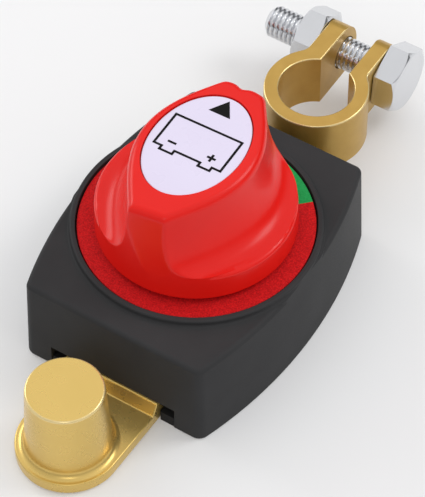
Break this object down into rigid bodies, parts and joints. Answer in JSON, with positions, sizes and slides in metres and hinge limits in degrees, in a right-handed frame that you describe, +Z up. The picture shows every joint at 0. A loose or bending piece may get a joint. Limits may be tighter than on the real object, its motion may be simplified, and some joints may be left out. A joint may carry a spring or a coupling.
{
  "type": "battery switch",
  "caption": "Rotary battery disconnect switch with a tapered brass post at one end and a brass ring clamp at the other, turned by a red lens-shaped grip knob.",
  "frame": {"origin": "on the knob's axis, at the underside of the base plate", "axes": "+Z up along the knob's axis, -Y towards the tapered post, +Y towards the ring clamp, +X towards the clamp bolt's head"},
  "size_m": [0.0586, 0.1429, 0.0495],
  "materials": {
    "housing": "satin moulded black",
    "base_plate": "matte black",
    "dial_plate": "fine grained red with a green sector",
    "knob": "satin red",
    "knob_label": "smooth pale print",
    "polished_brass": "polished",
    "cast_brass": "satin",
    "bolt_steel": "zinc plated",
    "screw_steel": "zinc plated",
    "spring_steel": "drawn wire",
    "silver_contact": "silver alloy",
    "copper": "bare copper",
    "spindle": "natural nylon",
    "shaft_seal": "black rubber"
  },
  "bodies": {
    "case": {"housing": "housing", "base_plate": "base_plate", "dial_plate": "dial_plate", "base_screw_1": "screw_steel", "base_screw_2": "screw_steel", "base_screw_3": "screw_steel", "base_screw_4": "screw_steel", "post_terminal": "polished_brass", "clamp_terminal": "cast_brass", "terminal_screw_1": "screw_steel", "terminal_screw_2": "screw_steel", "terminal_screw_3": "screw_steel", "terminal_screw_4": "screw_steel", "post_contact": "silver_contact", "clamp_contact": "silver_contact"},
    "rotor": {"knob": "knob", "knob_label": "knob_label", "knob_screw": "screw_steel", "spindle": "spindle", "shaft_seal": "shaft_seal", "contact_spring": "spring_steel"},
    "bridge": {"contact_bridge": "copper", "bridge_washer": "spindle"},
    "bolt": {"clamp_bolt": "bolt_steel"},
    "nut": {"clamp_nut": "bolt_steel"}
  },
  "joints": [
    {"name": "knob_turn", "type": "hinge", "parent": "case", "child": "rotor", "pos_m": [0, 0, 0.026], "axis": [0, 0, 1], "range_deg": [0, 90]},
    {"name": "bridge_lift", "type": "slide", "parent": "rotor", "child": "bridge", "axis": [0, 0, 1], "range_m": [0, 0.0008], "stiffness_N_per_m": 2000, "springref_m": -0.003, "deforming": ["contact_spring"]},
    {"name": "bolt_turn", "type": "hinge", "parent": "case", "child": "bolt", "pos_m": [0, 0.071, 0.0136], "axis": [1, 0, 0], "range_deg": [0, 1440]},
    {"name": "nut_travel", "type": "slide", "parent": "case", "child": "nut", "axis": [-1, 0, 0], "range_m": [0, 0.005]}
  ],
  "couplings": [
    {"joint": "bolt_turn", "follows": "nut_travel", "rad_per_m": 5026.5}
  ]
}
